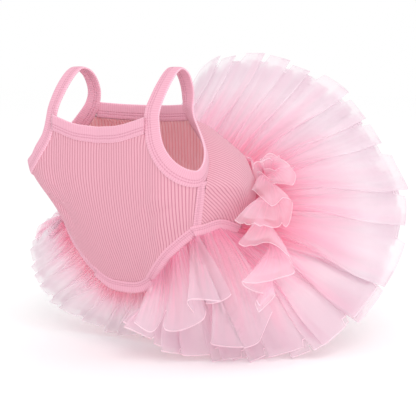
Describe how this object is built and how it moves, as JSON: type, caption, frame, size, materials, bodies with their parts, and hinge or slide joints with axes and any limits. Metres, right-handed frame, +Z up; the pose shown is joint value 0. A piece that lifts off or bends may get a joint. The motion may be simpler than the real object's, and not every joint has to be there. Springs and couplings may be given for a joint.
{
  "type": "dog tutu dress",
  "caption": "Sleeveless rib-knit dog dress with shoulder strap loops, bound neck, armholes and leg edges, and a gathered tulle tutu skirt, hollow as worn.",
  "frame": {"origin": "midway between the tops of the two shoulder straps, where the wearer holds the dress up", "axes": "+Z up, -Y the way the wearer faces, +X the wearer's left"},
  "size_m": [0.3107, 0.2463, 0.2308],
  "materials": {
    "rib_knit": "matt vertical rib knit, pink",
    "binding_knit": "matt smooth knit, pink",
    "tulle": "sheer soft net, pale pink"
  },
  "bodies": {
    "root": {"front_panel": "rib_knit", "back_panel": "rib_knit", "neck_binding_front": "binding_knit", "neck_binding_back": "binding_knit", "belly_binding": "binding_knit", "armhole_binding_left": "binding_knit", "armhole_binding_right": "binding_knit", "side_band_left": "binding_knit", "side_band_right": "binding_knit", "leg_binding_left": "binding_knit", "leg_binding_right": "binding_knit", "tutu_tier_upper": "tulle", "tutu_tier_lower": "tulle", "leg_ruffle_left": "tulle", "leg_ruffle_right": "tulle", "side_frill_left": "tulle", "side_frill_right": "tulle"}
  },
  "joints": []
}
